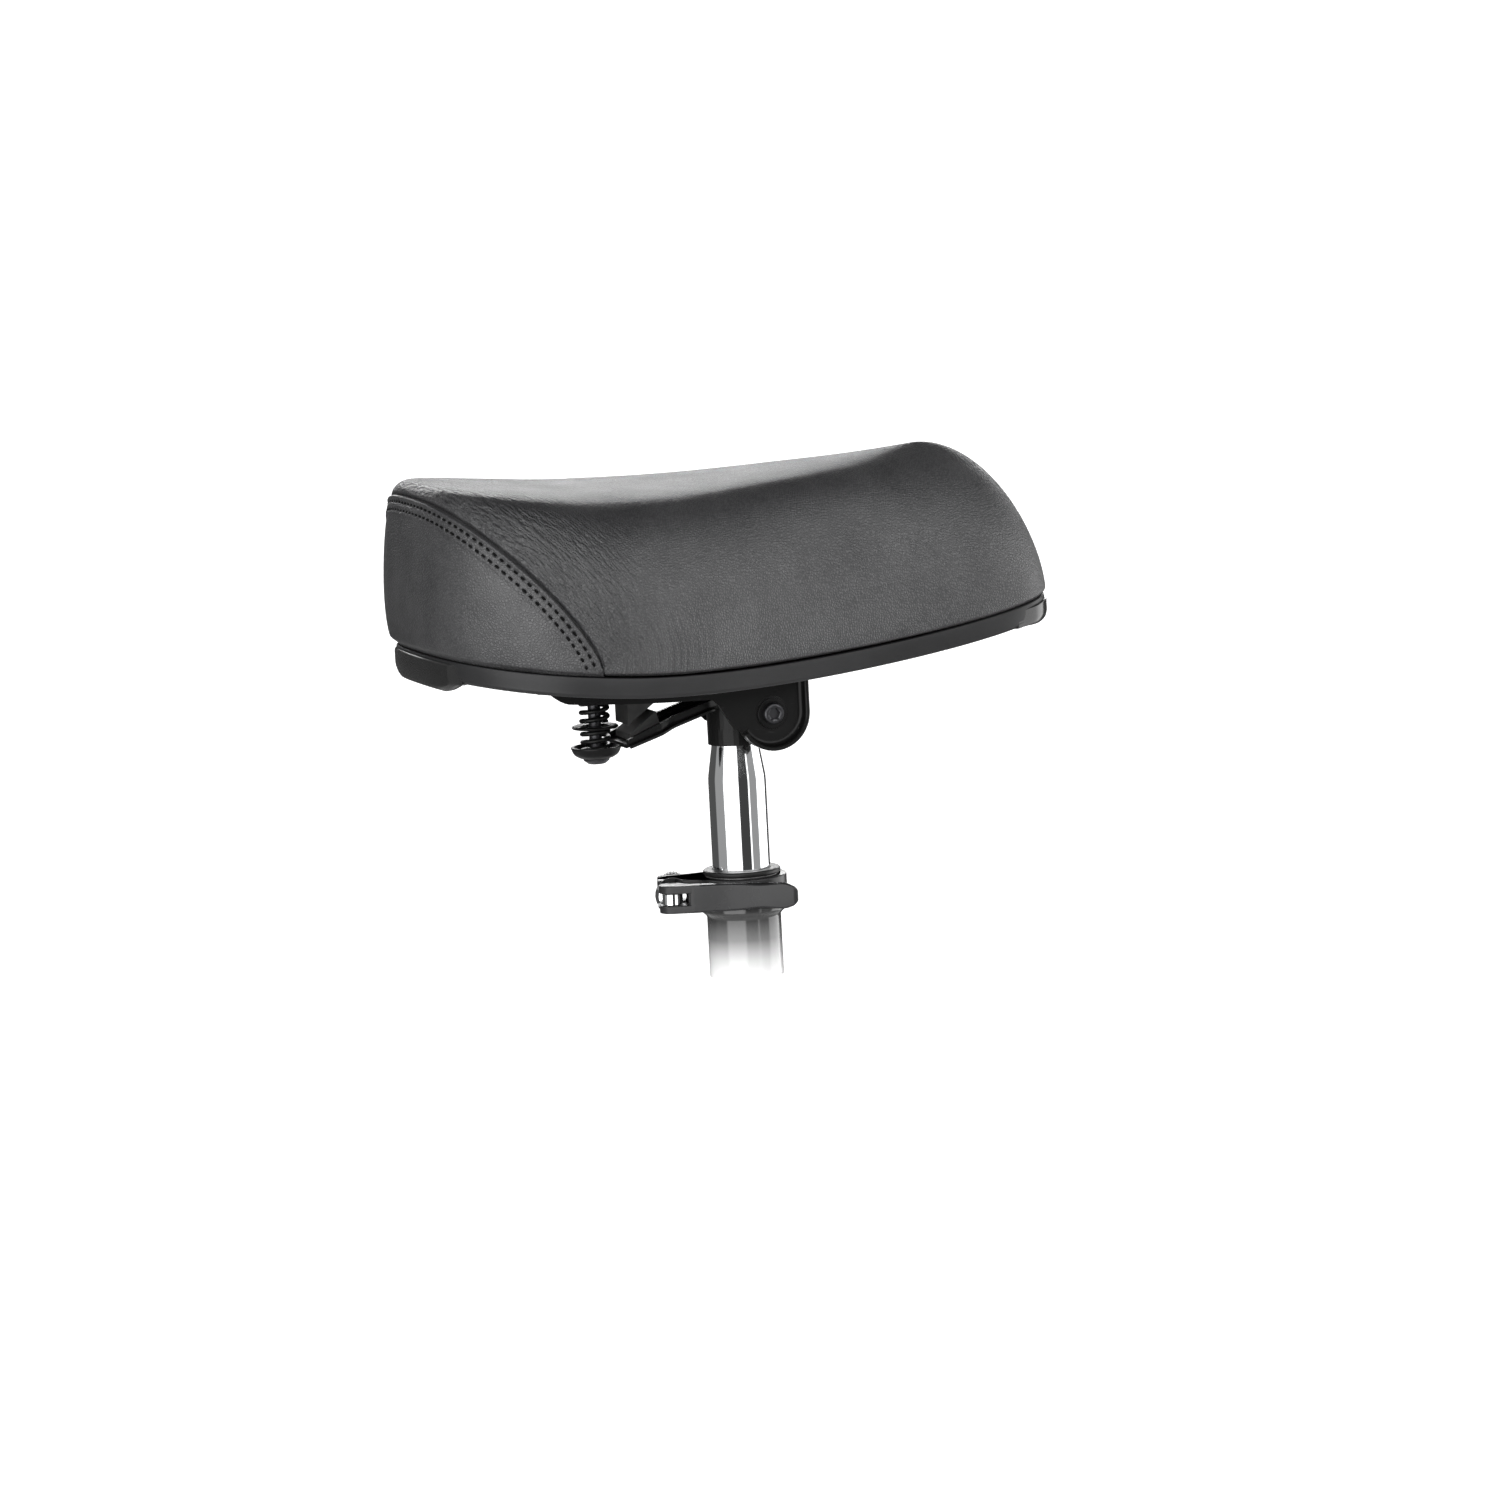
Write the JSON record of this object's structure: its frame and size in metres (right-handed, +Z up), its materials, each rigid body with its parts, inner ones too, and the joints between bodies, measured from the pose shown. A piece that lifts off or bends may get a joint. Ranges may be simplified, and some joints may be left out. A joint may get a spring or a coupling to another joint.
{
  "type": "sprung saddle on a seat post",
  "caption": "Thick padded saddle on a rocker hinge with coil springs, a chrome seat post and a quick-release clamp on a stub of seat tube.",
  "frame": {"origin": "centre of the seat tube's lower end, on the seat post's axis", "axes": "+Z up along the seat post, +X towards the saddle's nose, +Y to the rider's left"},
  "size_m": [0.3186, 0.1772, 0.2449],
  "materials": {
    "leatherette": "fine-grained matt",
    "foam": "moulded foam",
    "pan_plastic": "moulded satin",
    "bumper_plastic": "smooth gloss",
    "black_steel": "black gloss coat on pressed steel",
    "dark_zinc": "dark zinc plate",
    "stop_rubber": "matt",
    "chrome": "mirror plate",
    "tube_paint": "satin grey paint",
    "clamp_black": "satin black anodised",
    "shim_plastic": "matt"
  },
  "bodies": {
    "frame_tube": {"seat_tube": "tube_paint", "clamp_collar": "clamp_black", "skewer": "chrome", "cam_pin": "chrome", "cam_seat": "chrome"},
    "sleeve": {"shim_sleeve": "shim_plastic"},
    "post": {"seat_post": "chrome", "post_head": "black_steel", "rocker_arm": "black_steel", "hinge_bush": "dark_zinc", "stop_lower": "stop_rubber", "spring_lower": "dark_zinc", "spring_separator": "black_steel", "spring_upper": "dark_zinc"},
    "saddle": {"cover_main_panel": "leatherette", "cover_rear_panel": "leatherette", "foam_core": "foam", "base_pan": "pan_plastic", "edge_band": "pan_plastic", "rear_bumper": "bumper_plastic", "front_bumper": "bumper_plastic", "upper_bracket": "black_steel", "bracket_bolt_1": "dark_zinc", "bracket_bolt_2": "dark_zinc", "bracket_bolt_3": "dark_zinc", "bracket_bolt_4": "dark_zinc", "hinge_bolt": "dark_zinc", "hinge_nut": "dark_zinc", "hinge_washer_near": "black_steel", "hinge_washer_far": "black_steel", "spring_cup": "black_steel", "spring_bolt": "dark_zinc", "spring_bolt_nut": "dark_zinc", "stop_upper": "stop_rubber"},
    "lever": {"quick_release_lever": "clamp_black"},
    "nut": {"adjusting_nut": "clamp_black"}
  },
  "joints": [
    {"name": "post_turn", "type": "hinge", "parent": "frame_tube", "child": "sleeve", "pos_m": [0, 0, 0.0486], "axis": [0, 0, 1], "continuous": true},
    {"name": "post_height", "type": "slide", "parent": "sleeve", "child": "post", "axis": [0, 0, 1], "range_m": [-0.045, 0.012]},
    {"name": "saddle_rock", "type": "hinge", "parent": "post", "child": "saddle", "pos_m": [0.011, 0, 0.126], "axis": [0, -1, 0], "range_deg": [0, 3], "stiffness_Nm_per_rad": 400, "springref_deg": -1.15, "deforming": ["spring_lower", "spring_upper", "spring_separator"]},
    {"name": "lever_swing", "type": "hinge", "parent": "frame_tube", "child": "lever", "pos_m": [-0.03836, -0.00892, 0.0413], "axis": [0, 0, -1], "range_deg": [0, 160]},
    {"name": "nut_turn", "type": "hinge", "parent": "frame_tube", "child": "nut", "pos_m": [-0.03101, 0.01129, 0.0413], "axis": [0.342, 0.9397, 0], "continuous": true}
  ]
}
